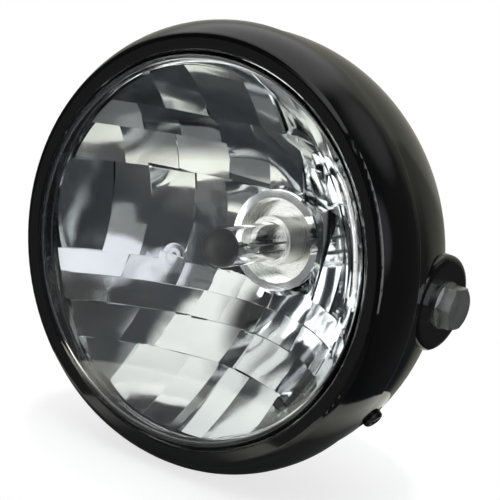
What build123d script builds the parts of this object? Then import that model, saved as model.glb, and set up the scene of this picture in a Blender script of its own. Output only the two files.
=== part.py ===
from build123d import *
from math import asin, cos, degrees, hypot, radians, sin, sqrt, tan
import os

# A round motorcycle headlight, in millimetres. X is across the lamp, Z is up and Y runs back along the
# optical axis, so the lens faces -Y. The origin is where that axis crosses the line of the side bolts.
# A depth is measured back from the front face of the rim.

sheet = 1.0
slip = 0.1

# Rim: a pressed trim ring with a flat front lip and a rounded shoulder
aperture_d = 168.0
lip_width = 6.5
lip_round = 0.7
crease_round = 3.0
shoulder_reach = 6.1
shoulder_depth = 19.0
rim_straight = 3.0
rim_edge_round = 0.8

# Bucket: a pressed bowl that starts under the rim, with a round boss on each side
seal_gap = 1.1
bucket_cover = 4.5
bucket_neck = 8.0
bowl_r = 60.0
bowl_turn = 42.0
boss_d = 41.0
boss_proud = 0.5
boss_gap = 4.5
boss_round = 3.0

# Side bolts
bolt_d = 10.0
bolt_play = 0.6
bolt_length = 22.0
bolt_head_af = 17.0
bolt_head_height = 6.2
bolt_bevel = 30.0
bolt_washer_d = 20.0
bolt_washer_thick = 1.6
bolt_nut_wall = 4.0
bolt_nut_height = 8.0

# Rim screws, two of them, with the tongues that they pull on and the hook at the top
rim_screw_angles = (-35.0, -145.0)
rim_screw_setback = 17.0
rim_screw_d = 5.0
rim_screw_play = 0.5
rim_screw_length = 8.5
rim_screw_head_d = 9.0
rim_screw_head_height = 3.2
rim_screw_head_round = 1.9
rim_screw_slot = 1.3
rim_screw_slot_length = 5.4
rim_screw_slot_depth = 1.6
rim_washer_d = 10.0
rim_washer_thick = 1.0
rim_pad_margin = 1.5
rim_nut_af = 8.0
rim_nut_height = 4.0
strap_sheet = 1.5
strap_arc = 10.0
strap_foot = 4.5
strap_joggle = 3.5
strap_gap = 0.5
tongue_tail = 5.5
hook_reach = 7.0
hook_angle = 90.0

# Lens: a clear dome with a rounded shoulder, a short neck in the aperture and a flat edge flange
lens_wall = 3.0
lens_gap = 0.6
lens_overlap = 2.8
lens_neck = 1.3
lens_shoulder_r = 7.0
lens_rise = 15.0
gasket_thick = 1.8
sealant = 0.6

# Reflector: a moulded bowl cut into rows of facets, with a skirt round the lens and a seat for the bulb
focus_depth = 43.0
field_margin = 0.9
field_depth = 3.15
bowl_backing = 5.5
facet_row_edges = (-55.0, -41.0, -30.0, -20.0, 21.0, 38.0, 50.0)
facet_columns = (
    (2.5, 16.0, 38.0),
    (4.0, 20.0, 33.0, 45.0),
    (2.5, 15.0, 27.0, 47.0),
    (2.5, 13.0, 26.0, 38.0, 57.0),
    (0.0, 26.0, 40.0, 54.0, 66.0),
    (9.0, 26.0, 46.0, 62.0),
    (12.0, 27.0, 42.0, 54.0),
    (6.0, 28.0, 45.0),
)
facet_row_pitches = (-0.02, 0.02, 0.02, -0.02, -0.04, 0.11, 0.08, 0.12)
facet_row_fans = (0.13, 0.08, 0.04, 0.04, 0.14, 0.13, 0.04, 0.14)
facet_nod = 0.045
facet_step = 1.0
facet_overrun = 0.2
flange_thick = 2.2
skirt_wall = 1.4
skirt_gap = 0.4
bulb_ledge = 1.9
collar_wall = 3.5
collar_rise = 2.6
neck_wall = 3.8
plate_margin = 0.85
plate_thick = 2.5

# Clips that hold the reflector's flange in the rim
clip_arc = 12.0
clip_count = 6
clip_overlap = 3.0
clip_leg = 7.3

# Bulb: a two-filament halogen capsule on a metal base
light_centre = 28.0
bulb_flange_d = 41.8
bulb_flange_thick = 1.5
bulb_seat_gap = 0.3
bulb_glass_d = 17.0
bulb_glass_wall = 1.0
bulb_reach = 30.0
bulb_socket = 5.0
bulb_collar_wall = 2.6
bulb_collar_length = 13.0
bulb_shell_d = 23.2
bulb_shell_length = 7.5
insulator_d = 24.0
insulator_length = 9.0
blade_width = 8.0
blade_thick = 0.8
blade_length = 9.0
blade_offset = 6.5
filament_d = 1.6
filament_length = 5.5
filament_gap = 4.5
lead_d = 1.0
lead_offset = 3.6
shield_wall = 0.4
shield_length = 10.0

# Wire clip that holds the bulb, its latches and screws, and the rubber boot over them
wire_d = 1.6
wire_gap = 0.05
wire_room = 1.0
wire_top = 27.0
wire_drop = 27.0
wire_bend = 5.0
wire_end = 8.0
latch_width = 4.0
latch_height = 5.0
latch_lip = 1.6
clip_screw_out = 4.6
clip_screw_gap = 0.9
clip_screw_d = 3.0
clip_screw_head_d = 8.0
clip_screw_head_height = 2.2
clip_screw_head_round = 1.3
clip_screw_length = 5.0
boot_wall = 2.1
boot_lip = 2.2
boot_room = 1.6
boot_step_d = 59.0
boot_rib_d = 45.0
boot_rib_rise = 3.5

# Cable grommet, low in the back of the bucket
cable_drop = 40.0
cable_bore_d = 12.0
grommet_wall = 3.5
grommet_grip = 3.0
grommet_flange_thick = 2.4
grommet_round = 1.2

# What follows from those sizes: the rim and the bucket
aperture_r = aperture_d / 2
crease_r = aperture_r + lip_width
rim_r = crease_r + shoulder_reach
shoulder_r = (shoulder_reach**2 + shoulder_depth**2) / (2 * shoulder_reach)
rim_depth = shoulder_depth + rim_straight
bolt_setback = rim_depth + boss_gap + boss_d / 2
bucket_r = rim_r - sheet - seal_gap
bucket_lip = rim_depth - bucket_cover
bucket_straight = rim_depth + bucket_neck
boss_reach = bucket_r + boss_proud
bolt_hole_d = bolt_d + bolt_play
bowl_centre_r = bucket_r - bowl_r
cap_r = bowl_r + bowl_centre_r / cos(radians(bowl_turn))

# The rim screws, in a recess that is flush with the bowl at its back edge
rim_screw_depth = rim_depth + rim_screw_setback
rim_screw_hole_d = rim_screw_d + rim_screw_play
rim_pad_d = rim_washer_d + 2 * rim_pad_margin
rim_pad_run = rim_screw_depth + rim_pad_d / 2 - bucket_straight
rim_seat_r = bowl_centre_r + sqrt(bowl_r**2 - rim_pad_run**2) - slip
tongue_r = rim_seat_r - sheet

# The lens and the reflector
lens_r = aperture_r + lens_overlap
lens_neck_r = aperture_r - lens_gap
lens_front = sheet + gasket_thick
lens_back = lens_front + lens_wall
lens_shoulder_depth = lens_front - lens_neck
lens_shoulder_centre_r = lens_neck_r - lens_shoulder_r
flange_front = lens_back + sealant
flange_back = flange_front + flange_thick
facet_field_r = lens_neck_r - lens_wall - field_margin
focus_run = focus_depth - flange_front - field_depth
bowl_focal = (sqrt(focus_run**2 + facet_field_r**2) - focus_run) / 2
vertex_depth = focus_depth + bowl_focal

# The bulb and what holds it
bulb_seat = focus_depth + light_centre
bulb_hole_r = bulb_flange_d / 2 - bulb_ledge
bulb_seat_r = bulb_flange_d / 2 + bulb_seat_gap
plate_back = bulb_seat + bulb_flange_thick
glass_r = bulb_glass_d / 2
glass_tip = focus_depth - bulb_reach
glass_back = bulb_seat - bulb_socket
insulator_front = plate_back + bulb_shell_length
insulator_back = insulator_front + insulator_length
high_back = focus_depth + filament_length
low_back = focus_depth - filament_gap
low_front = low_back - filament_length
shield_r = lead_offset + lead_d / 2 + slip
wire_half_width = (bulb_shell_d + wire_d) / 2 + wire_room
clip_screw_x = wire_half_width + clip_screw_out
clip_screw_z = wire_top + (clip_screw_d + wire_d) / 2 + clip_screw_gap
clip_screw_seat = wire_d + 2 * wire_gap
plate_r = hypot(clip_screw_x, clip_screw_z) + clip_screw_head_d / 2 + plate_margin
grommet_waist_d = cable_bore_d + 2 * grommet_wall
grommet_flange_d = grommet_waist_d + 2 * grommet_grip


def at(depth):
    """The Y of a depth behind the rim's front face."""
    return depth - bolt_setback


def spoke(angle, depth):
    """A plane on the optical axis whose Z points out at an angle from +X, so Z is the distance out."""
    outward = (cos(radians(angle)), 0, sin(radians(angle)))
    return Plane(origin=(0, at(depth), 0), x_dir=(0, 1, 0), z_dir=outward)


def turned(outline, rounded=(), arc=360.0):
    """Revolve a closed outline of radius and Y about the optical axis, after rounding some corners."""
    section = make_face(outline)
    for corner, radius in rounded:
        section = fillet(section.vertices().sort_by_distance((*corner, 0))[0], radius)
    return revolve(section, Axis.Y, arc)


def ring(inner_r, outer_r, front, back):
    """A plain ring about the optical axis between two depths."""
    corners = ((inner_r, front), (outer_r, front), (outer_r, back), (inner_r, back))
    return turned(Polyline([(r, at(depth)) for r, depth in corners], close=True))


def around(section_part, angle, arc):
    """Turn a part revolved through an arc so that its middle is at an angle from +X."""
    return Rot(0, -angle - arc / 2, 0) * section_part


def peg(diameter, low, high):
    """A cylinder on Z between two heights."""
    return Pos(0, 0, low) * extrude(Circle(diameter / 2), high - low)


def hex_bar(across_flats, low, high):
    """A hexagon bar on Z between two heights."""
    flat = RegularPolygon(across_flats / 2, 6, major_radius=False)
    return Pos(0, 0, low) * extrude(flat, high - low)


def shoulder_point(depth, inset):
    """A point on the rim's shoulder arc, moved in by an inset."""
    run = shoulder_depth - depth
    return rim_r - shoulder_r + sqrt((shoulder_r - inset) ** 2 - run**2), at(depth)


def shoulder_arc(start, end, inset):
    """The rim's shoulder arc between two depths, moved in by an inset."""
    stations = (start, (start + end) / 2, end)
    return ThreePointArc(*[shoulder_point(depth, inset) for depth in stations])


def rim():
    """The trim ring: front lip turned back at the aperture, crease, shoulder and straight rear edge."""
    outside = shoulder_arc(0, shoulder_depth, 0)
    inside = shoulder_arc(shoulder_depth, sheet, sheet)
    lip_turn = lens_front - 2 * slip
    rear_edge = (rim_r, at(rim_depth))
    lip_edge = (aperture_r, at(0))
    outline = Curve() + [
        outside,
        Polyline(outside @ 1, rear_edge, (rim_r - sheet, at(rim_depth)), inside @ 0),
        inside,
        Polyline(
            inside @ 1,
            (aperture_r + sheet, at(sheet)),
            (aperture_r + sheet, at(lip_turn)),
            (aperture_r, at(lip_turn)),
            lip_edge,
            outside @ 0,
        ),
    ]
    crease = shoulder_point(0, 0)
    rounded = (
        (lip_edge, lip_round),
        (crease, crease_round),
        (shoulder_point(sheet, sheet), crease_round - sheet),
        (rear_edge, rim_edge_round),
    )
    return turned(outline, rounded)


cap_centre = at(bucket_straight) - bowl_centre_r * tan(radians(bowl_turn))


def bowl_point(angle, inset):
    """A point on the bucket's bowl arc; the angle runs from the straight wall to the cap."""
    reach = bowl_r - inset
    return (
        bowl_centre_r + reach * cos(radians(angle)),
        at(bucket_straight) + reach * sin(radians(angle)),
    )


def bucket_form(inset):
    """The bucket's filled outer form, moved in by an inset: bowl, side bosses and screw recesses."""
    bowl = ThreePointArc(*[bowl_point(share * bowl_turn, inset) for share in (0, 0.5, 1)])
    mid_cap = radians(90 - bowl_turn) / 2
    cap_reach = cap_r - inset
    cap = ThreePointArc(
        bowl @ 1,
        (cap_reach * sin(mid_cap), cap_centre + cap_reach * cos(mid_cap)),
        (0, cap_centre + cap_reach),
    )
    front = Polyline(cap @ 1, (0, at(bucket_lip)), (bucket_r - inset, at(bucket_lip)), bowl @ 0)
    form = turned(Curve() + [bowl, cap, front])
    boss = peg(boss_d - 2 * inset, inset - boss_reach, boss_reach - inset)
    boss = fillet(boss.edges().filter_by(GeomType.CIRCLE), boss_round - inset)
    form += spoke(0, bolt_setback) * boss
    for angle in rim_screw_angles:
        recess = peg(rim_pad_d + 2 * inset, rim_seat_r - inset, rim_r)
        form -= spoke(angle, rim_screw_depth) * recess
    return form


def cable_plane():
    """A plane square to the back of the bucket at the cable hole, on the outer surface, Z outwards."""
    lean = asin(cable_drop / cap_r)
    outward = (0, cos(lean), -sin(lean))
    return Plane(
        origin=(0, cap_centre + cap_r * cos(lean), -cable_drop),
        x_dir=(1, 0, 0),
        z_dir=outward,
    )


def bucket():
    """The bowl in sheet of one thickness, with holes for the side bolts, rim screws and grommet."""
    shell = bucket_form(0) - bucket_form(sheet)
    shell -= spoke(0, bolt_setback) * peg(bolt_hole_d, -rim_r, rim_r)
    for angle in rim_screw_angles:
        shell -= spoke(angle, rim_screw_depth) * peg(rim_screw_hole_d, 0, rim_r)
    hole_d = grommet_waist_d + 2 * slip
    return shell - cable_plane() * peg(hole_d, -2 * hole_d, 2 * hole_d)


def bucket_seal():
    """The rubber band between the bucket's mouth and the straight part of the rim."""
    return ring(bucket_r + slip, rim_r - sheet - slip, shoulder_depth, rim_depth - slip)


def side_bolt():
    """A hex-head bolt on Z, its head chamfered by a cone."""
    seat = boss_reach + bolt_washer_thick
    top = seat + bolt_head_height
    crown_r = bolt_head_af / 2
    base_r = crown_r + bolt_head_height / tan(radians(bolt_bevel))
    cone = Cone(base_r, crown_r, bolt_head_height, align=(Align.CENTER, Align.CENTER, Align.MIN))
    head = hex_bar(bolt_head_af, seat, top) & Pos(0, 0, seat) * cone
    return head + peg(bolt_d, seat - bolt_length, seat)


def side_washer():
    """A plain washer between the boss and the bolt's head."""
    top = boss_reach + bolt_washer_thick
    return peg(bolt_washer_d, boss_reach, top) - peg(bolt_hole_d, boss_reach, top)


def side_nut():
    """A round weld nut inside the boss."""
    top = boss_reach - sheet
    low = top - bolt_nut_height
    return peg(bolt_d + 2 * bolt_nut_wall, low, top) - peg(bolt_d + slip, low, top)


def strap(outer_r, depth):
    """A bent strip of the rim's inside: a foot on the shoulder, a joggle in, and a straight leg back."""
    bend = bucket_lip - strap_gap
    foot_back = bend - strap_joggle
    foot_front = foot_back - strap_foot
    outside = shoulder_arc(foot_front, foot_back, sheet + slip)
    inside = shoulder_arc(foot_back, foot_front, sheet + slip + strap_sheet)
    leg = Polyline(
        outside @ 1,
        (outer_r, at(bend)),
        (outer_r, at(depth)),
        (outer_r - strap_sheet, at(depth)),
        (outer_r - strap_sheet, at(bend)),
        inside @ 0,
    )
    return turned(Curve() + [outside, leg, inside, Line(inside @ 1, outside @ 0)], arc=strap_arc)


def rim_tongue(angle):
    """The strap that a rim screw pulls on."""
    axis = spoke(angle, rim_screw_depth)
    nut_flat = axis * peg(rim_pad_d, 0, tongue_r - strap_sheet)
    hole = axis * peg(rim_screw_hole_d, 0, rim_r)
    leg = strap(tongue_r, rim_screw_depth + tongue_tail)
    return around(leg, angle, strap_arc) - nut_flat - hole


def rim_hook():
    """The strap at the top that hooks inside the bucket's mouth."""
    hook_r = bucket_r - sheet - slip
    return around(strap(hook_r, bucket_lip + hook_reach), hook_angle, strap_arc)


def rim_screw():
    """A pan-head screw on Z with a cross slot."""
    seat = rim_seat_r + rim_washer_thick
    top = seat + rim_screw_head_height
    head = peg(rim_screw_head_d, seat, top)
    head = fillet(head.edges().group_by(Axis.Z)[-1], rim_screw_head_round)
    for turn in (0, 90):
        slot = Rot(0, 0, turn) * Rectangle(rim_screw_slot_length, rim_screw_slot)
        head -= Pos(0, 0, top - rim_screw_slot_depth) * extrude(slot, rim_screw_slot_depth)
    return head + peg(rim_screw_d, seat - rim_screw_length, seat)


def rim_washer():
    """The plain washer under a rim screw's head."""
    top = rim_seat_r + rim_washer_thick
    return peg(rim_washer_d, rim_seat_r, top) - peg(rim_screw_hole_d, rim_seat_r, top)


def rim_nut():
    """The hexagon nut welded behind a tongue."""
    top = tongue_r - strap_sheet
    low = top - rim_nut_height
    return hex_bar(rim_nut_af, low, top) - peg(rim_screw_d + slip, low, top)


def lens_dome_r():
    """The radius of the dome that touches both the shoulder arc and the given rise."""
    run = lens_rise + lens_shoulder_depth
    gain = lens_shoulder_centre_r**2 + run**2 - lens_shoulder_r**2
    return gain / (2 * (run - lens_shoulder_r))


def lens_face(inset):
    """One face of the lens as two tangent arcs, from the axis out to the neck, moved in by an inset."""
    dome_r = lens_dome_r()
    centre = dome_r - lens_rise
    lean = asin(lens_shoulder_centre_r / (dome_r - lens_shoulder_r))
    reach = dome_r - inset
    dome = [(reach * sin(a), at(centre - reach * cos(a))) for a in (0, lean / 2, lean)]
    corner = lens_shoulder_r - inset
    turn = [(lean + a * (radians(90) - lean)) for a in (0.5, 1)]
    shoulder = [
        (lens_shoulder_centre_r + corner * sin(a), at(lens_shoulder_depth - corner * cos(a)))
        for a in turn
    ]
    return [ThreePointArc(*dome), ThreePointArc(dome[-1], *shoulder)]


def lens():
    """The clear cover: two parallel faces joined by the flange that the rim clamps."""
    front = lens_face(0)
    back = lens_face(lens_wall)
    flange = Polyline(
        front[1] @ 1,
        (lens_neck_r, at(lens_front)),
        (lens_r, at(lens_front)),
        (lens_r, at(lens_back)),
        (lens_neck_r - lens_wall, at(lens_back)),
        back[1] @ 1,
    )
    return turned(Curve() + front + [flange] + back + [Line(back[0] @ 0, front[0] @ 0)])


def rim_gasket():
    """The flat rubber ring between the rim's lip and the lens flange."""
    return ring(aperture_r + sheet + slip, lens_r, sheet, lens_front)


def lens_sealant():
    """The bead that bonds the lens flange to the reflector."""
    return ring(lens_neck_r - lens_wall, lens_r, lens_back, flange_front)


def bowl_depth(r):
    """The depth of the reflector's paraboloid at a radius."""
    return vertex_depth - r**2 / (4 * bowl_focal)


def facet(x_edges, z_edges, fan, pitch, step):
    """The space in front of one facet: a prism ended by a tilted sphere close to the paraboloid."""
    x = sum(x_edges) / 2
    z = sum(z_edges) / 2
    slope = 2 * bowl_focal
    inward = Vector(-x / slope + fan, -1, -z / slope + pitch).normalized()
    sphere_r = slope * (1 + (hypot(x, z) / slope) ** 2)
    touch = Vector(x, at(bowl_depth(hypot(x, z)) + step), z)
    width, height = (edges[1] - edges[0] + 2 * facet_overrun for edges in (x_edges, z_edges))
    prism = Pos(x, at(focus_depth), z) * Box(width, 2 * focus_depth, height)
    return prism & (Pos(*(touch + inward * sphere_r)) * Sphere(sphere_r))


def facet_cells():
    """Every facet's space: rows of columns, mirrored about the lamp's upright plane."""
    edges = (-facet_field_r, *facet_row_edges, facet_field_r)
    rows = zip(edges, edges[1:], facet_columns, facet_row_pitches, facet_row_fans)
    cells = []
    for row, (lower, upper, columns, pitch, fan) in enumerate(rows):
        nearest = min(abs(lower), abs(upper)) if lower * upper > 0 else 0
        reach = sqrt(facet_field_r**2 - nearest**2)
        step = facet_step * (row % 2)
        if columns[0]:
            cells.append(facet((-columns[0], columns[0]), (lower, upper), 0, pitch + facet_nod, step))
        sides = (*columns, reach)
        for column, (inner, outer) in enumerate(zip(sides, sides[1:])):
            turn = 1 if column % 2 else -1
            nod = pitch + turn * facet_nod
            cells.append(facet((inner, outer), (lower, upper), turn * fan, nod, step))
            cells.append(facet((-outer, -inner), (lower, upper), -turn * fan, nod, step))
    return cells


def on_back(x, z):
    """A place on the back face of the reflector's bulb plate, with Z to the rear."""
    return Plane(origin=(x, at(plate_back), z), x_dir=(1, 0, 0), z_dir=(0, 1, 0))


def clip_screw_places():
    """The two screws that trap the ends of the bulb clip."""
    return [on_back(side * clip_screw_x, clip_screw_z) for side in (-1, 1)]


def latch(side):
    """A moulded hook beside one arm of the bulb clip, its lip over the wire."""
    gap = wire_d + wire_gap + slip
    inner = wire_half_width + wire_d / 2 + slip
    post = extrude(Rectangle(latch_width, latch_height), gap + latch_lip)
    lip = extrude(Rectangle(2 * latch_width, latch_height), latch_lip)
    hook = Pos(side * (inner + latch_width / 2), 0, 0) * post + Pos(side * inner, 0, gap) * lip
    return on_back(0, wire_bend + latch_height / 2 - wire_drop) * hook


def reflector():
    """The bowl with its facets, lens skirt, bulb plate, seat, screw holes and clip hooks."""
    skirt_r = lens_r + skirt_gap
    edge_r = skirt_r + skirt_wall
    outer_r = sqrt(4 * bowl_focal * (vertex_depth + bowl_backing - flange_back))
    rear = at(vertex_depth + bowl_backing)
    parabola = Bezier((0, rear), (outer_r / 2, rear), (outer_r, at(flange_back)))
    edge = Polyline(
        parabola @ 1,
        (edge_r, at(flange_back)),
        (edge_r, at(lens_front + slip)),
        (skirt_r, at(lens_front + slip)),
        (skirt_r, at(flange_front)),
        (0, at(flange_front)),
        parabola @ 0,
    )
    body = turned(Curve() + [parabola, edge])
    body += ring(0, bulb_seat_r + neck_wall, focus_depth, plate_back)
    body += ring(0, plate_r, plate_back - plate_thick, plate_back)
    body += [latch(side) for side in (-1, 1)]
    field = ring(0, facet_field_r, 0, plate_back)
    body -= [cell & field for cell in facet_cells()]
    collar_r = bulb_hole_r + collar_wall
    body += ring(0, collar_r, bowl_depth(collar_r) - collar_rise, bulb_seat)
    body -= ring(0, bulb_hole_r, focus_depth, 2 * plate_back)
    body -= ring(0, bulb_seat_r, bulb_seat, 2 * plate_back)
    for place in clip_screw_places():
        body -= place * peg(clip_screw_d + slip, -clip_screw_length, 0)
    return body


def unit_clip(number):
    """A bent clip on the inside of the rim that holds the reflector's flange forward."""
    front = flange_back + slip
    outside = shoulder_arc(front, front + clip_leg, sheet + slip)
    inside = shoulder_arc(front + clip_leg, front + sheet, 2 * sheet + slip)
    toe_r = lens_r - clip_overlap
    outline = Curve() + [
        outside,
        Line(outside @ 1, inside @ 0),
        inside,
        Polyline(inside @ 1, (toe_r, at(front + sheet)), (toe_r, at(front)), outside @ 0),
    ]
    return around(turned(outline, arc=clip_arc), number * 360 / clip_count, clip_arc)


def bulb_glass():
    """The capsule: a tube with a rounded tip, open at the base that closes it."""
    inner_r = glass_r - bulb_glass_wall
    centre = at(glass_tip) + glass_r
    outside = [(glass_r * cos(a), centre - glass_r * sin(a)) for a in (0, radians(45), radians(90))]
    inside = [(inner_r * cos(a), centre - inner_r * sin(a)) for a in (radians(90), radians(45), 0)]
    outline = Curve() + [
        ThreePointArc(*outside),
        Line(outside[-1], inside[0]),
        ThreePointArc(*inside),
        Polyline(inside[-1], (inner_r, at(glass_back)), (glass_r, at(glass_back)), outside[0]),
    ]
    return turned(outline)


def bulb_base():
    """The metal base: collar round the glass, locating flange, and shell behind it."""
    socket_r = glass_r + slip
    collar_r = socket_r + bulb_collar_wall
    collar_front = bulb_seat - bulb_collar_length
    steps = (
        (0, glass_back),
        (socket_r, glass_back),
        (socket_r, collar_front),
        (collar_r, collar_front),
        (collar_r, bulb_seat),
        (bulb_flange_d / 2, bulb_seat),
        (bulb_flange_d / 2, plate_back),
        (bulb_shell_d / 2, plate_back),
        (bulb_shell_d / 2, insulator_front),
        (0, insulator_front),
    )
    return turned(Polyline([(r, at(depth)) for r, depth in steps], close=True))


def bulb_insulator():
    """The moulded end of the base that carries the contact blades."""
    return ring(0, insulator_d / 2, insulator_front, insulator_back)


def bulb_contacts():
    """The three contact blades: one flat at the top and one upright on each side."""
    middle = at(insulator_back + blade_length / 2)
    flat = Pos(0, middle, blade_offset) * Box(blade_width, blade_length, blade_thick)
    upright = Box(blade_thick, blade_length, blade_width)
    return Part() + [flat] + [Pos(side * blade_offset, middle, 0) * upright for side in (-1, 1)]


def rod(x, z, front, back):
    """A lead wire along the optical axis."""
    return Pos(x, 0, z) * ring(0, lead_d / 2, front, back)


def arm(x_end, z_end, depth):
    """A lead wire from the optical axis out to the middle of a rod."""
    reach = hypot(x_end, z_end)
    angle = degrees(asin(z_end / reach)) if x_end >= 0 else 180.0
    return spoke(angle, depth) * peg(lead_d, 0, reach)


def bulb_leads():
    """The three lead wires, each bent in to the end of a filament."""
    half = lead_d / 2
    left = rod(-lead_offset, 0, high_back + half, glass_back)
    left += arm(-lead_offset, 0, high_back + half)
    right = rod(lead_offset, 0, low_back + half, glass_back)
    right += arm(lead_offset, 0, low_back + half)
    right += arm(lead_offset, 0, focus_depth - half)
    drop = -shield_r - shield_wall - half - slip
    below = rod(0, drop, low_front - half, glass_back)
    below += arm(0, drop, low_front - half)
    return Part() + [left, right, below]


def bulb_filaments():
    """The dipped-beam and main-beam coils, in line on the optical axis."""
    spans = ((low_front, low_back), (focus_depth, high_back))
    return Part() + [ring(0, filament_d / 2, front, back) for front, back in spans]


def bulb_shield():
    """The half cup under the dipped-beam coil."""
    cup = ring(shield_r, shield_r + shield_wall, low_front, low_front + shield_length)
    half = Pos(0, 0, shield_r) * Box(4 * shield_r, 8 * shield_length, 2 * shield_r)
    return cup - Pos(0, at(low_front), 0) * half


def bulb_clip():
    """The spring wire across the bulb's flange, closed at the bottom and turned out at its top ends."""
    points = [
        (-wire_half_width - wire_end, wire_top),
        (-wire_half_width, wire_top),
        (-wire_half_width, -wire_drop),
        (wire_half_width, -wire_drop),
        (wire_half_width, wire_top),
        (wire_half_width + wire_end, wire_top),
    ]
    height = at(plate_back) + wire_gap + wire_d / 2
    path = FilletPolyline([(x, height, z) for x, z in points], radius=wire_bend)
    return sweep(Plane(origin=path @ 0, z_dir=path % 0) * Circle(wire_d / 2), path)


def clip_screw():
    """A screw whose head traps one end of the bulb clip, on Z from the plate's back face."""
    head = peg(clip_screw_head_d, clip_screw_seat, clip_screw_seat + clip_screw_head_height)
    head = fillet(head.edges().group_by(Axis.Z)[-1], clip_screw_head_round)
    return head + peg(clip_screw_d, -clip_screw_length, clip_screw_seat)


def dust_boot():
    """The rubber cover that grips the edge of the bulb plate and the bulb's insulator."""
    lip_r = plate_r + slip
    lip_front = plate_back - plate_thick - slip
    crown = plate_back + clip_screw_seat + clip_screw_head_height + boot_room
    step = crown + boot_wall
    rib = step + boot_rib_rise
    sleeve_r = insulator_d / 2 + slip
    outside = [
        (lip_r + boot_wall, lip_front - boot_lip),
        (lip_r + boot_wall, crown),
        (boot_step_d / 2, step + boot_wall),
        (boot_rib_d / 2 + boot_wall, step + boot_wall),
        (boot_rib_d / 2, rib + boot_wall),
        (sleeve_r + boot_wall, rib + boot_wall),
        (sleeve_r + boot_wall, insulator_back - slip),
    ]
    inside = [
        (sleeve_r, insulator_back - slip),
        (sleeve_r, rib),
        (boot_rib_d / 2 - boot_wall, rib),
        (boot_rib_d / 2, step),
        (boot_step_d / 2, step),
        (lip_r, crown - boot_wall / 2),
        (lip_r, lip_front),
        (lip_r - boot_lip, lip_front),
        (lip_r - boot_lip, lip_front - boot_lip),
    ]
    return turned(Polyline([(r, at(depth)) for r, depth in outside + inside], close=True))


def cable_grommet():
    """The rubber bush in the cable hole, its groove following the curve of the sheet that it grips."""
    inner = -sheet - grommet_flange_d**2 / (8 * cap_r) - grommet_flange_thick
    outer = grommet_flange_thick
    bush = peg(grommet_flange_d, inner, outer)
    bush = fillet(bush.edges().group_by(Axis.Z)[-1], grommet_round)
    groove = Sphere(cap_r + slip) - Sphere(cap_r - sheet - slip)
    bush -= Pos(0, 0, -cap_r) * groove
    bush += peg(grommet_waist_d, inner, outer)
    return cable_plane() * (bush - peg(cable_bore_d, inner, outer))


def on_sides(piece):
    """One copy of a piece on each side bolt's axis."""
    return Part() + [spoke(angle, bolt_setback) * piece for angle in (0, 180)]


def on_rim_screws(piece):
    """One copy of a piece on each rim screw's axis."""
    return Part() + [spoke(angle, rim_screw_depth) * piece for angle in rim_screw_angles]


pieces = {
    "bucket": bucket(),
    "side_bolts": on_sides(side_bolt()),
    "side_washers": on_sides(side_washer()),
    "side_nuts": on_sides(side_nut()),
    "cable_grommet": cable_grommet(),
    "bucket_seal": bucket_seal(),
    "rim": rim(),
    "rim_hook": rim_hook(),
    "rim_tongues": Part() + [rim_tongue(angle) for angle in rim_screw_angles],
    "rim_screws": on_rim_screws(rim_screw()),
    "rim_washers": on_rim_screws(rim_washer()),
    "rim_nuts": on_rim_screws(rim_nut()),
    "unit_clips": Part() + [unit_clip(number) for number in range(clip_count)],
    "rim_gasket": rim_gasket(),
    "lens": lens(),
    "lens_sealant": lens_sealant(),
    "reflector": reflector(),
    "bulb_glass": bulb_glass(),
    "bulb_base": bulb_base(),
    "bulb_insulator": bulb_insulator(),
    "bulb_contacts": bulb_contacts(),
    "bulb_leads": bulb_leads(),
    "bulb_filaments": bulb_filaments(),
    "bulb_shield": bulb_shield(),
    "bulb_clip": bulb_clip(),
    "clip_screws": Part() + [place * clip_screw() for place in clip_screw_places()],
    "dust_boot": dust_boot(),
}

os.makedirs("parts", exist_ok=True)
for name, piece in pieces.items():
    export_step(piece, f"parts/{name}.step")
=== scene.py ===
from math import cos, pi, radians, sin

import bpy
from mathutils import Matrix, Quaternion, Vector


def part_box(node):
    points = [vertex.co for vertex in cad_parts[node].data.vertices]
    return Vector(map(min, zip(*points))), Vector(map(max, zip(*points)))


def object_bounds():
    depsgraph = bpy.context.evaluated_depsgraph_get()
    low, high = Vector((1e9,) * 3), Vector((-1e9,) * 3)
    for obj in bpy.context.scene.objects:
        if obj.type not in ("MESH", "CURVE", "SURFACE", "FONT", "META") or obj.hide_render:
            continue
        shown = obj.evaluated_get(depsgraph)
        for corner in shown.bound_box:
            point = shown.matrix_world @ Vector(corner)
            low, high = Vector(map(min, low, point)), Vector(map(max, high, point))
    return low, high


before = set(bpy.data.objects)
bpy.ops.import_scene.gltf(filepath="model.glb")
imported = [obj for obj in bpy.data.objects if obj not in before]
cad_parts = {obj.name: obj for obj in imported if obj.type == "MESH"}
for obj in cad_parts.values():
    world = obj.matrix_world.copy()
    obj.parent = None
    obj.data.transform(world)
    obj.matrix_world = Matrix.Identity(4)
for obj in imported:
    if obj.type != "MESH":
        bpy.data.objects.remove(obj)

cad_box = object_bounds()


# Bucket: the bowl that closes the back of the lamp, with a round boss pressed out on each side.
# It is deep-drawn from 1 mm steel sheet, primed and sprayed, and the rim is screwed over its mouth.

mm = 0.001


def linear(hex_colour):
    """An sRGB hex colour as linear red, green, blue and alpha."""
    shares = [int(hex_colour[i:i + 2], 16) / 255 for i in (1, 3, 5)]
    return (*[c / 12.92 if c <= 0.04045 else ((c + 0.055) / 1.055) ** 2.4 for c in shares], 1)


def add(tree, kind, inputs, **settings):
    """Adds a node with its settings, values and links, and returns the first output that is then in use.

    An input goes by its name, or by its number where the node has several of that name in use."""
    node = tree.nodes.new("ShaderNode" + kind)
    for name, value in settings.items():
        setattr(node, name, value)
    in_use = {socket.name: socket for socket in node.inputs if socket.enabled}
    for name, value in inputs.items():
        socket = node.inputs[name] if isinstance(name, int) else in_use[name]
        if isinstance(value, bpy.types.NodeSocket):
            tree.links.new(value, socket)
        else:
            socket.default_value = value
    return next((socket for socket in node.outputs if socket.enabled), None)


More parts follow.
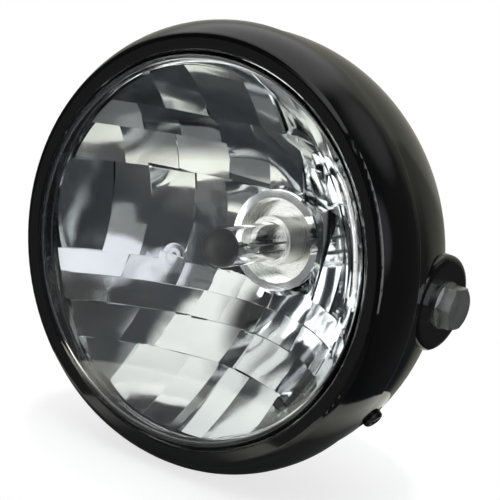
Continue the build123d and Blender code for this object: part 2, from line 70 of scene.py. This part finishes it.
def new_material(name):
    """A material with its emptied node tree, and the coordinates of the object it is on."""
    made = bpy.data.materials.new(name)
    made.use_nodes = True
    tree = made.node_tree
    tree.nodes.clear()
    return made, tree, add(tree, "TexCoord", {}).node.outputs["Object"]


def dress(material, *names):
    """Gives CAD nodes one material."""
    for name in names:
        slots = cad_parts[name].data.materials
        slots.clear()
        slots.append(material)


# Sprayed gloss black enamel: a wet black whose reflections waver a little, because the spray dries
# with orange peel, and which a faint bloom of handling marks dulls in patches.
peel_mm = 3.0
peel_height_mm = 0.002
mark_mm = 25.0
enamel, tree, place = new_material("gloss_black_enamel")
peel = add(tree, "TexNoise", {"Vector": place, "Scale": 1 / (peel_mm * mm), "Detail": 1.0})
marks = add(tree, "TexNoise", {"Vector": place, "Scale": 1 / (mark_mm * mm), "Detail": 4.0})
tone = add(tree, "Mix", {"Factor": marks, "A": linear("#0a0a0a"), "B": linear("#101010")}, data_type="RGBA")
gloss = add(tree, "MapRange", {
    "Value": marks, "From Min": 0.35, "From Max": 0.7, "To Min": 0.05, "To Max": 0.12
})
bump = add(tree, "Bump", {"Height": peel, "Distance": peel_height_mm * mm})
surface = add(tree, "BsdfPrincipled", {
    "IOR": 1.5, "Base Color": tone, "Roughness": gloss, "Normal": bump
})
add(tree, "OutputMaterial", {"Surface": surface})
dress(enamel, "bucket")


# Side bolts: an M10 hexagon bolt with its washer and weld nut on each side, which carry the lamp.
# They are cold-formed steel, zinc plated in a barrel and clear passivated.

# Zinc plate: a soft silver with a cool cast, finely pitted by the barrel and clouded by the bath, so it
# shines in a broad haze and not as a mirror.
pit_mm = 0.5
pit_height_mm = 0.01
stain_mm = 6.0
zinc_plate, tree, place = new_material("zinc_plated_steel")
pits = add(tree, "TexNoise", {"Vector": place, "Scale": 1 / (pit_mm * mm), "Detail": 2.0})
stain = add(tree, "TexNoise", {"Vector": place, "Scale": 1 / (stain_mm * mm), "Detail": 3.0})
tone = add(tree, "Mix", {"Factor": stain, "A": linear("#a9adaf"), "B": linear("#c9cac8")}, data_type="RGBA")
gloss = add(tree, "MapRange", {
    "Value": stain, "From Min": 0.3, "From Max": 0.7, "To Min": 0.28, "To Max": 0.42
})
bump = add(tree, "Bump", {"Height": pits, "Distance": pit_height_mm * mm})
surface = add(tree, "BsdfPrincipled", {
    "Metallic": 1.0, "Base Color": tone, "Roughness": gloss, "Normal": bump
})
add(tree, "OutputMaterial", {"Surface": surface})
dress(zinc_plate, "side_bolts", "side_washers", "side_nuts")


# Cable grommet and bucket seal: the ring that the wiring goes through, and the strip at the bucket's mouth.
# Both are moulded in black EPDM rubber; the ring is pushed into its hole, and the rim squeezes the strip.

# Moulded EPDM: a dull charcoal black with the grain of a blasted mould, paler where it is dusty. The real
# grain is about a tenth of a millimetre, and it is drawn coarser so that it shows.
grain_mm = 0.6
grain_height_mm = 0.02
dust_mm = 9.0
rubber, tree, place = new_material("moulded_black_rubber")
grain = add(tree, "TexNoise", {"Vector": place, "Scale": 1 / (grain_mm * mm), "Detail": 2.0})
dust = add(tree, "TexNoise", {"Vector": place, "Scale": 1 / (dust_mm * mm), "Detail": 4.0})
tone = add(tree, "Mix", {"Factor": dust, "A": linear("#131313"), "B": linear("#222222")}, data_type="RGBA")
gloss = add(tree, "MapRange", {
    "Value": grain, "From Min": 0.3, "From Max": 0.7, "To Min": 0.55, "To Max": 0.75
})
bump = add(tree, "Bump", {"Height": grain, "Distance": grain_height_mm * mm})
surface = add(tree, "BsdfPrincipled", {
    "IOR": 1.52, "Base Color": tone, "Roughness": gloss, "Normal": bump
})
add(tree, "OutputMaterial", {"Surface": surface})
dress(rubber, "cable_grommet", "bucket_seal")


# Rim: the trim ring that frames the lens and reaches back over the bucket's mouth.
# It is pressed from the same steel sheet as the bucket and sprayed with the same enamel.

dress(enamel, "rim")


# Rim hook and tongues: the strap at the rim's top that hooks inside the bucket, and the two straps, with a
# nut each, that its screws pull on. They are bent from zinc-plated steel strip and fixed inside the rim.

dress(zinc_plate, "rim_hook", "rim_tongues", "rim_nuts")


# Rim screws: two slotted pan-head screws with washers that go through the bucket and pull the rim onto it.
# They are steel with a black zinc finish.

# Black zinc: a dark satin grey with a metal sheen, rubbed a little paler in places.
rub_mm = 2.0
black_zinc, tree, place = new_material("black_zinc_steel")
rub = add(tree, "TexNoise", {"Vector": place, "Scale": 1 / (rub_mm * mm), "Detail": 3.0})
tone = add(tree, "Mix", {"Factor": rub, "A": linear("#1c1d1f"), "B": linear("#3a3b3d")}, data_type="RGBA")
gloss = add(tree, "MapRange", {
    "Value": rub, "From Min": 0.3, "From Max": 0.7, "To Min": 0.3, "To Max": 0.5
})
surface = add(tree, "BsdfPrincipled", {"Metallic": 1.0, "Base Color": tone, "Roughness": gloss})
add(tree, "OutputMaterial", {"Surface": surface})
dress(black_zinc, "rim_screws", "rim_washers")


# Rim gasket: the rubber ring between the rim's lip and the edge of the lens.
# It is moulded in the same EPDM as the seal, and the clips that hold the lens squeeze it.

dress(rubber, "rim_gasket")


# Lens: the clear dome over the front, held behind the rim's lip and bonded to the reflector.
# It is pressed glass with both faces plain, since the facets behind it shape the beam.

# Pressed glass: clear and hard, with sharp reflections and a very slight waviness from the mould.
wave_mm = 18.0
wave_height_mm = 0.004
glass, tree, place = new_material("pressed_clear_glass")
wave = add(tree, "TexNoise", {"Vector": place, "Scale": 1 / (wave_mm * mm), "Detail": 1.0})
tone = add(tree, "Mix", {"Factor": wave, "A": linear("#fbfdfc"), "B": linear("#ffffff")}, data_type="RGBA")
bump = add(tree, "Bump", {"Height": wave, "Distance": wave_height_mm * mm})
surface = add(tree, "BsdfPrincipled", {
    "IOR": 1.52, "Transmission Weight": 1.0, "Roughness": 0.0, "Base Color": tone, "Normal": bump
})
add(tree, "OutputMaterial", {"Surface": surface})
dress(glass, "lens")


# Lens sealant: the bead that bonds the lens to the reflector.
# It is a grey silicone, laid by machine and squeezed flat by the lens.

# Silicone: a soft grey with a satin skin and small flow marks.
flow_mm = 4.0
silicone, tree, place = new_material("grey_silicone")
flow = add(tree, "TexNoise", {"Vector": place, "Scale": 1 / (flow_mm * mm), "Detail": 3.0})
tone = add(tree, "Mix", {"Factor": flow, "A": linear("#5f6264"), "B": linear("#74777a")}, data_type="RGBA")
gloss = add(tree, "MapRange", {
    "Value": flow, "From Min": 0.3, "From Max": 0.7, "To Min": 0.4, "To Max": 0.55
})
surface = add(tree, "BsdfPrincipled", {"IOR": 1.43, "Base Color": tone, "Roughness": gloss})
add(tree, "OutputMaterial", {"Surface": surface})
dress(silicone, "lens_sealant")


# Reflector: the bowl of facets behind the lens, which shape the beam.
# It is moulded in a hard thermoset plastic, base-coated, and metallised with aluminium in a vacuum.

# Vacuum aluminium: a near mirror with a cool white shine, over a lacquer that ripples very slightly,
# and with a thin milky haze in patches.
ripple_mm = 7.0
ripple_height_mm = 0.006
haze_mm = 12.0
aluminium, tree, place = new_material("vacuum_aluminium")
ripple = add(tree, "TexNoise", {"Vector": place, "Scale": 1 / (ripple_mm * mm), "Detail": 1.0})
haze = add(tree, "TexNoise", {"Vector": place, "Scale": 1 / (haze_mm * mm), "Detail": 3.0})
tone = add(tree, "Mix", {"Factor": haze, "A": linear("#e6e9ea"), "B": linear("#f2f4f4")}, data_type="RGBA")
gloss = add(tree, "MapRange", {
    "Value": haze, "From Min": 0.35, "From Max": 0.7, "To Min": 0.04, "To Max": 0.09
})
bump = add(tree, "Bump", {"Height": ripple, "Distance": ripple_height_mm * mm})
surface = add(tree, "BsdfPrincipled", {
    "Metallic": 1.0, "Base Color": tone, "Roughness": gloss, "Normal": bump
})
add(tree, "OutputMaterial", {"Surface": surface})
dress(aluminium, "reflector")


# Unit clips: the bent strips that hold the lens and its reflector in the rim.
# They are stamped from steel strip and zinc plated.

dress(zinc_plate, "unit_clips")


# Bulb leads, filaments and shield: the wires that carry the two coils of a halogen bulb, and the small cup
# that shades the dipped one. They are drawn wire and thin sheet, spot-welded before the glass goes on.

# Drawn wire: a bright grey metal with a fine broken grain from the die. The real grain is a few
# hundredths of a millimetre, and it is made coarser so that it shows.
draw_mm = 0.4
wire, tree, place = new_material("drawn_steel_wire")
drawn = add(tree, "TexNoise", {"Vector": place, "Scale": 1 / (draw_mm * mm), "Detail": 2.0})
tone = add(tree, "Mix", {"Factor": drawn, "A": linear("#b4b5b6"), "B": linear("#cfd0d0")}, data_type="RGBA")
gloss = add(tree, "MapRange", {
    "Value": drawn, "From Min": 0.3, "From Max": 0.7, "To Min": 0.28, "To Max": 0.4
})
surface = add(tree, "BsdfPrincipled", {"Metallic": 1.0, "Base Color": tone, "Roughness": gloss})
add(tree, "OutputMaterial", {"Surface": surface})
dress(wire, "bulb_leads", "bulb_filaments", "bulb_shield")


# Bulb glass: the capsule round the filaments, whose tip lets no light straight out.
# It is drawn from quartz tube, and the tip is dipped in a heat-proof paint.

# Quartz: as clear as the lens, and a satin dark grey where the tip is painted.
tip_mm = 9.0
tip_blur_mm = 0.2
smear_mm = 3.0
tip_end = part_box("bulb_glass")[0].y + tip_mm * mm
quartz, tree, place = new_material("quartz_glass")
depth = add(tree, "SeparateXYZ", {"Vector": place}).node.outputs["Y"]
bare = add(tree, "MapRange", {
    "Value": depth, "From Min": tip_end - tip_blur_mm * mm, "From Max": tip_end + tip_blur_mm * mm
})
smear = add(tree, "TexNoise", {"Vector": place, "Scale": 1 / (smear_mm * mm), "Detail": 3.0})
dip = add(tree, "Mix", {"Factor": smear, "A": linear("#525253"), "B": linear("#606061")}, data_type="RGBA")
tone = add(tree, "Mix", {"Factor": bare, "A": dip, "B": linear("#fdfefe")}, data_type="RGBA")
gloss = add(tree, "MapRange", {"Value": bare, "To Min": 0.35, "To Max": 0.0})
surface = add(tree, "BsdfPrincipled", {
    "IOR": 1.46, "Transmission Weight": bare, "Base Color": tone, "Roughness": gloss
})
add(tree, "OutputMaterial", {"Surface": surface})
dress(quartz, "bulb_glass")


# Bulb base and contacts: the collar and flange that seat the bulb in the reflector, and its three tabs.
# The base is spun from steel and nickel plated; the tabs are tinned brass, which looks much the same.

# Nickel plate: a bright, faintly warm metal with the rings of the tool that shaped it. The real rings are
# about a tenth of a millimetre apart, and they are drawn coarser so that they show. Blender's wave texture
# runs through 20 radians for each unit of its scale.
ring_mm = 1.6
wave_radians = 20
nickel, tree, place = new_material("nickel_plated_steel")
rings = add(
    tree, "TexWave", {"Vector": place, "Scale": 2 * pi / wave_radians / (ring_mm * mm), "Distortion": 0.5},
    wave_type="RINGS", rings_direction="Y",
)
tone = add(tree, "Mix", {"Factor": rings, "A": linear("#e6e6e2"), "B": linear("#f0f0ec")}, data_type="RGBA")
gloss = add(tree, "MapRange", {"Value": rings, "To Min": 0.24, "To Max": 0.32})
surface = add(tree, "BsdfPrincipled", {"Metallic": 1.0, "Base Color": tone, "Roughness": gloss})
add(tree, "OutputMaterial", {"Surface": surface})
dress(nickel, "bulb_base", "bulb_contacts")


# Bulb insulator: the plug at the back of the base, which holds the contacts apart.
# It is moulded in phenolic resin, and the base is crimped round it.

# Phenolic moulding: a dark brown-black with a dull, faintly mottled skin.
skin_mm = 1.5
phenolic, tree, place = new_material("phenolic_moulding")
skin = add(tree, "TexNoise", {"Vector": place, "Scale": 1 / (skin_mm * mm), "Detail": 3.0})
tone = add(tree, "Mix", {"Factor": skin, "A": linear("#1d1a18"), "B": linear("#2a2623")}, data_type="RGBA")
gloss = add(tree, "MapRange", {
    "Value": skin, "From Min": 0.3, "From Max": 0.7, "To Min": 0.45, "To Max": 0.6
})
surface = add(tree, "BsdfPrincipled", {"IOR": 1.6, "Base Color": tone, "Roughness": gloss})
add(tree, "OutputMaterial", {"Surface": surface})
dress(phenolic, "bulb_insulator")


# Bulb clip: the spring that presses the bulb's flange onto its seat, and the screws that hold it.
# It is bent from spring steel wire, and the screws are zinc-plated steel.

dress(wire, "bulb_clip")
dress(zinc_plate, "clip_screws")


# Dust boot: the cap over the bulb's base that keeps water and dirt out of the reflector.
# It is moulded in the same EPDM as the grommet, and its own stretch holds it.

dress(rubber, "dust_boot")


# Table: the small round board that the lamp stands on, which ends just beyond it.
# It is painted pale grey with a roller.

def new_stage(name, points, faces, material):
    """A mesh of the set, which isn't part of the lamp."""
    mesh = bpy.data.meshes.new(name)
    mesh.from_pydata(points, [], faces)
    mesh.materials.append(material)
    made = bpy.data.objects.new(name, mesh)
    bpy.context.scene.collection.objects.link(made)
    return made


# Painted board: a matt pale grey, speckled by the roller. To the eye it glows as well, up to a white ground
# with the lamp's soft shadow left on it, and its glow is weaker under the lamp, which paints shade there.
# To metal and glass it glows only away from the lamp, in cream, so they show painted shade under the lamp.
table_r_mm = 126.0
table_sides = 96
fade_mm = (85.0, 110.0)
eye_glow = 0.75
roller_mm = 2.0
board, tree, place = new_material("grey_painted_board")
roller = add(tree, "TexNoise", {"Vector": place, "Scale": 1 / (roller_mm * mm), "Detail": 2.0})
tone = add(tree, "Mix", {"Factor": roller, "A": linear("#a4a5a6"), "B": linear("#acadae")}, data_type="RGBA")
matt = add(tree, "BsdfDiffuse", {"Color": tone})
ray = add(tree, "LightPath", {}).node.outputs
eye = ray["Is Camera Ray"]
# The glow close under the lamp, lower than at the board's edge: painted shade under the lamp.
shaded_glow_under_lamp = add(tree, "Math", {0: eye, 1: eye_glow}, operation="MULTIPLY")
level = add(tree, "VectorMath", {0: place, 1: (1, 1, 0)}, operation="MULTIPLY")
reach = add(tree, "VectorMath", {0: level}, operation="LENGTH")
fade = {"From Min": fade_mm[0] * mm, "From Max": fade_mm[1] * mm, "To Min": shaded_glow_under_lamp, "To Max": 1.0}
strength = add(tree, "MapRange", {"Value": reach, **fade})
white = add(tree, "Mix", {"Factor": eye, "A": linear("#fffff0"), "B": linear("#ffffff")}, data_type="RGBA")
glow = add(tree, "Emission", {"Color": white, "Strength": strength})
glowing = add(tree, "AddShader", {0: matt, 1: glow})
mirrored = add(tree, "Math", {0: ray["Is Glossy Ray"], 1: ray["Is Transmission Ray"]}, operation="MAXIMUM")
direct = add(tree, "Math", {0: eye, 1: mirrored}, operation="MAXIMUM")
surface = add(tree, "MixShader", {"Fac": direct, 1: matt, 2: glowing})
add(tree, "OutputMaterial", {"Surface": surface})
turns = [2 * pi * i / table_sides for i in range(table_sides)]
edge = [(table_r_mm * mm * cos(turn), table_r_mm * mm * sin(turn), cad_box[0].z) for turn in turns]
new_stage("table", edge, [tuple(range(table_sides))], board)


# Tent: the cloth round and above the set, out of the camera's sight, which the gloss and the mirror show.
# It is slate, with round panels set in it: pale ones overhead, at the right and behind, dark ones in front.

def toward(azimuth, elevation):
    """A direction, in degrees: azimuth from the lamp's front round to its right, elevation from level up."""
    level = cos(radians(elevation))
    return Vector((level * sin(radians(azimuth)), -level * cos(radians(azimuth)), sin(radians(elevation))))


# Each panel has the azimuth and elevation of its middle, its radius and the width of its soft edge, all in
# degrees, and then its colour and how strongly it glows. A panel covers those before it.
tent_panels = {
    "right wall": (122, 0, 30, 20, "#f8f8ff", 0.09),
    "back wall": (199, 14, 41, 13, "#ffffee", 0.27),
    "right side panel": (75, 17, 14, 9, "#f4f5ff", 0.64),
    "back panel": (203, 29, 31, 5, "#ffffee", 0.46),
    "left ground": (-37, -42, 31, 3, "#ffffff", 0.15),
    "roof": (-22, 52, 32, 6, "#f8f9f6", 1.25),
    "back roof": (-121, 61, 25, 16, "#ffffff", 1.0),
    "right front panel": (55, 17, 17, 3, "#f4f5ff", 0.95),
    "high right panel": (130, 54, 3, 21, "#ffffff", 0.5),
    "left flag": (-42, 34, 17, 14, "#ffffff", 0.03),
    "right flag": (66, 44, 7, 9, "#ffffff", 0.03),
    "right ground": (28, -57, 23, 22, "#ffffff", 0.12),
    "left front panel": (-34, -13, 8, 10, "#ffffff", 0.20),
}
tent_r_mm = 2000.0
tent_sides = 64
tent_elevations = range(-88, 89, 4)
cloth, tree, place = new_material("tent_cloth")
facing = add(tree, "VectorMath", {0: place}, operation="NORMALIZE")
tone = linear("#3a3d41")
for name, (azimuth, elevation, radius, soft, hex_colour, strength) in tent_panels.items():
    nearness = add(tree, "VectorMath", {0: facing, 1: toward(azimuth, elevation)}, operation="DOT_PRODUCT")
    edges = {"From Min": cos(radians(radius + soft)), "From Max": cos(radians(radius))}
    share = add(tree, "MapRange", {"Value": nearness, **edges}, interpolation_type="SMOOTHSTEP")
    lit = [strength * value for value in linear(hex_colour)]
    tone = add(tree, "Mix", {"Factor": share, "A": tone, "B": lit}, data_type="RGBA", label=name)
add(tree, "OutputMaterial", {"Surface": add(tree, "Emission", {"Color": tone})})
points = [
    tent_r_mm * mm * toward(360 * side / tent_sides, elevation)
    for elevation in tent_elevations
    for side in range(tent_sides)
]
faces = []
for row in range(0, len(points) - tent_sides, tent_sides):
    for side in range(tent_sides):
        here = row + side
        beside = row + (side + 1) % tent_sides
        faces.append((here, beside, beside + tent_sides, here + tent_sides))
tent = new_stage("tent", points, faces, cloth)
tent.visible_camera = False

# The room outside the tent is plain white, and the camera sees it as the background.
room = bpy.data.worlds.new("white_room")
room.use_nodes = True
room.node_tree.nodes.clear()
white = add(room.node_tree, "Background", {"Color": linear("#ffffff"), "Strength": 1.0})
add(room.node_tree, "OutputWorld", {"Surface": white})
bpy.context.scene.world = room


# Cards: glowing boards round the camera, which show in the lamp but not to the camera or in matt light.
# Two show only inside the lamp, for the shine of the bulb's base. The third shows only in its outside, and
# draws the line on the lens's edge.

# A ray that has gone in through the lens, off the mirror and out again has five bounces behind it or more.
# One off the paint or off either face of the lens has three at most.
inside_bounces = 3.5


def card(name, size_mm, centre_mm, strength, inside, rough_share=1.0):
    """A glowing board that faces the lamp, and is clear to the rays that aren't to see it.

    It shows inside the lamp or else in its outside, where rough_share is how much of it shows in surfaces
    that aren't perfectly sharp, such as the paint."""
    paper, tree, _ = new_material(name)
    ray = add(tree, "LightPath", {}).node.outputs
    kind = "GREATER_THAN" if inside else "LESS_THAN"
    side = add(tree, "Math", {0: ray["Ray Depth"], 1: inside_bounces}, operation=kind)
    share = add(tree, "MapRange", {"Value": ray["Is Singular Ray"], "To Min": rough_share, "To Max": 1.0})
    shown = add(tree, "Math", {0: side, 1: share}, operation="MULTIPLY")
    clear = add(tree, "BsdfTransparent", {})
    glow = add(tree, "Emission", {"Color": linear("#ffffff"), "Strength": strength})
    add(tree, "OutputMaterial", {"Surface": add(tree, "MixShader", {"Fac": shown, 1: clear, 2: glow})})
    centre = Vector(centre_mm) * mm
    turn = (-centre).to_track_quat("Z", "Y")
    half_w, half_h = (length * mm / 2 for length in size_mm)
    corners = ((-half_w, -half_h), (half_w, -half_h), (half_w, half_h), (-half_w, half_h))
    made = new_stage(name, [centre + turn @ Vector((x, y, 0)) for x, y in corners], [(0, 1, 2, 3)], paper)
    made.visible_camera = False
    made.visible_diffuse = False


card("bulb_card", (130, 310), (-146, -222, -18), strength=2.5, inside=True)
card("seat_card", (58, 58), (-128, -207, -54.5), strength=0.29, inside=True)
card("edge_card", (500, 1300), (1010, -560, 330), strength=11.0, inside=False, rough_share=0.25)


# Overhead light: a wide soft box above the set.
# Only matt surfaces show its light, so that it leaves no patch in the gloss or the glass.

overhead_mm = 1200.0
overhead_watts = 6.0
overhead_place = Vector((200, -300, 1300)) * mm
lamp = bpy.data.lights.new("overhead", "AREA")
lamp.size = overhead_mm * mm
lamp.energy = overhead_watts
overhead = bpy.data.objects.new("overhead", lamp)
overhead.location = overhead_place
overhead.rotation_euler = (-overhead_place).to_track_quat("-Z", "Y").to_euler()
overhead.visible_camera = False
overhead.visible_glossy = False
overhead.visible_transmission = False
bpy.context.scene.collection.objects.link(overhead)


# Camera: a long lens at the right of the lamp's front and a little above it.
# It is rolled, so that the lamp leans clockwise, and turned until the rim's middle is in its place.

view_azimuth = 34.355
view_elevation = 12.844
view_roll = 10.118
distance_mm = 840.0
focal_px = 2013.9
image_px = 500
rim_middle_px = (193.2, 251.8)
rim_middle = Vector((0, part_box("rim")[0].y, 0))
to_camera = toward(view_azimuth, view_elevation)
level_up = (Vector((0, 0, 1)) - to_camera.z * to_camera).normalized()
view_up = Quaternion(to_camera, radians(view_roll)) @ level_up
view_right = view_up.cross(to_camera)
aim_right = (image_px / 2 - rim_middle_px[0]) / focal_px
aim_up = (rim_middle_px[1] - image_px / 2) / focal_px
forward = (aim_right * view_right + aim_up * view_up - to_camera).normalized()
right = forward.cross(view_up).normalized()
up = right.cross(forward)
camera = bpy.data.objects.new("camera", bpy.data.cameras.new("camera"))
camera.data.lens = focal_px / image_px * camera.data.sensor_width
turned = Matrix((right, up, -forward)).transposed().to_4x4()
camera.matrix_world = Matrix.Translation(rim_middle + distance_mm * mm * to_camera) @ turned
bpy.context.scene.collection.objects.link(camera)
bpy.context.scene.camera = camera
bpy.context.scene.view_settings.view_transform = "Standard"
